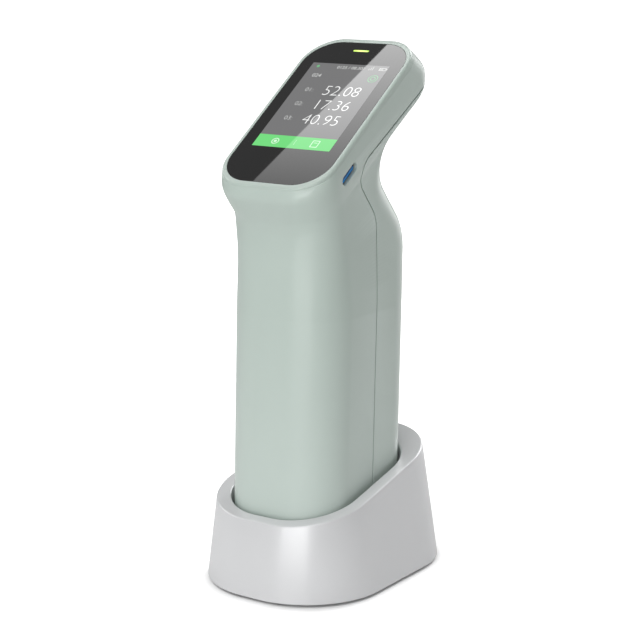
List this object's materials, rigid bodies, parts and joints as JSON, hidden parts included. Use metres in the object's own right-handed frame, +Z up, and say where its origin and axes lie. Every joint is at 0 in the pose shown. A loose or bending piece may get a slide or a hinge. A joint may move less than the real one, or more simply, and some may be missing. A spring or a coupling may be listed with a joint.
{
  "type": "portable colorimeter",
  "caption": "Hand-held colorimeter with a tilted glass-faced display head, standing in its tapered calibration stand.",
  "frame": {"origin": "centre of the underside's bounding box, on the plane that the stand's feet rest on", "axes": "+Z up, -Y the side that the screen faces, +X the user's right, where the side key is"},
  "size_m": [0.0852, 0.1167, 0.2402],
  "materials": {
    "housing": "satin sage grey-green moulding",
    "stand": "silver-white lacquer",
    "glass": "glossy black back-printed glass",
    "display": "lit colour display",
    "light": "clear light pipe, lit yellow-green",
    "key": "satin blue",
    "black_plastic": "matt black",
    "grey_plastic": "matt grey",
    "board": "green solder mask",
    "foam": "closed-cell sealing foam",
    "ceramic": "glossy white reference glaze",
    "steel": "zinc-plated",
    "anodised": "black anodised",
    "rubber": "matt black",
    "cell_wrap": "blue heat-shrink wrap",
    "cable": "amber flexible film"
  },
  "bodies": {
    "stand": {"stand_shell": "stand", "stand_base": "black_plastic", "tile_holder": "black_plastic", "white_tile": "ceramic", "stand_foot_1": "rubber", "stand_foot_2": "rubber", "stand_foot_3": "rubber", "stand_foot_4": "rubber", "stand_screw_1": "steel", "stand_screw_2": "steel", "stand_screw_3": "steel", "stand_screw_4": "steel"},
    "instrument": {"front_shell": "housing", "rear_shell": "housing", "foot_plate": "black_plastic", "cover_glass": "glass", "glass_gasket": "foam", "display_panel": "display", "display_carrier": "black_plastic", "status_light": "light", "main_board": "board", "key_switch": "steel", "charging_socket": "steel", "sphere_lower": "grey_plastic", "sphere_upper": "grey_plastic", "lamp_board": "board", "inner_frame": "grey_plastic", "spectrometer": "anodised", "battery_pack": "cell_wrap", "beeper": "black_plastic", "ribbon_cable": "cable", "shell_screw_1": "steel", "shell_screw_2": "steel", "shell_screw_3": "steel", "shell_screw_4": "steel", "foot_screw_1": "steel", "foot_screw_2": "steel", "foot_screw_3": "steel", "foot_screw_4": "steel"},
    "side_key": {"side_key": "key", "key_plunger": "black_plastic"},
    "aperture_ring": {"aperture_ring": "anodised"}
  },
  "joints": [
    {"name": "instrument_lift", "type": "slide", "parent": "stand", "child": "instrument", "axis": [0, 0.0349, 0.9994], "range_m": [0, 0.07]},
    {"name": "side_key_press", "type": "slide", "parent": "instrument", "child": "side_key", "axis": [-1, 0, 0], "range_m": [0, 0.0008], "stiffness_N_per_m": 900, "springref_m": -0.0008},
    {"name": "aperture_twist", "type": "hinge", "parent": "instrument", "child": "aperture_ring", "pos_m": [0, -0.0075, 0.013], "axis": [0, -0.0349, -0.9994], "range_deg": [0, 40]}
  ]
}
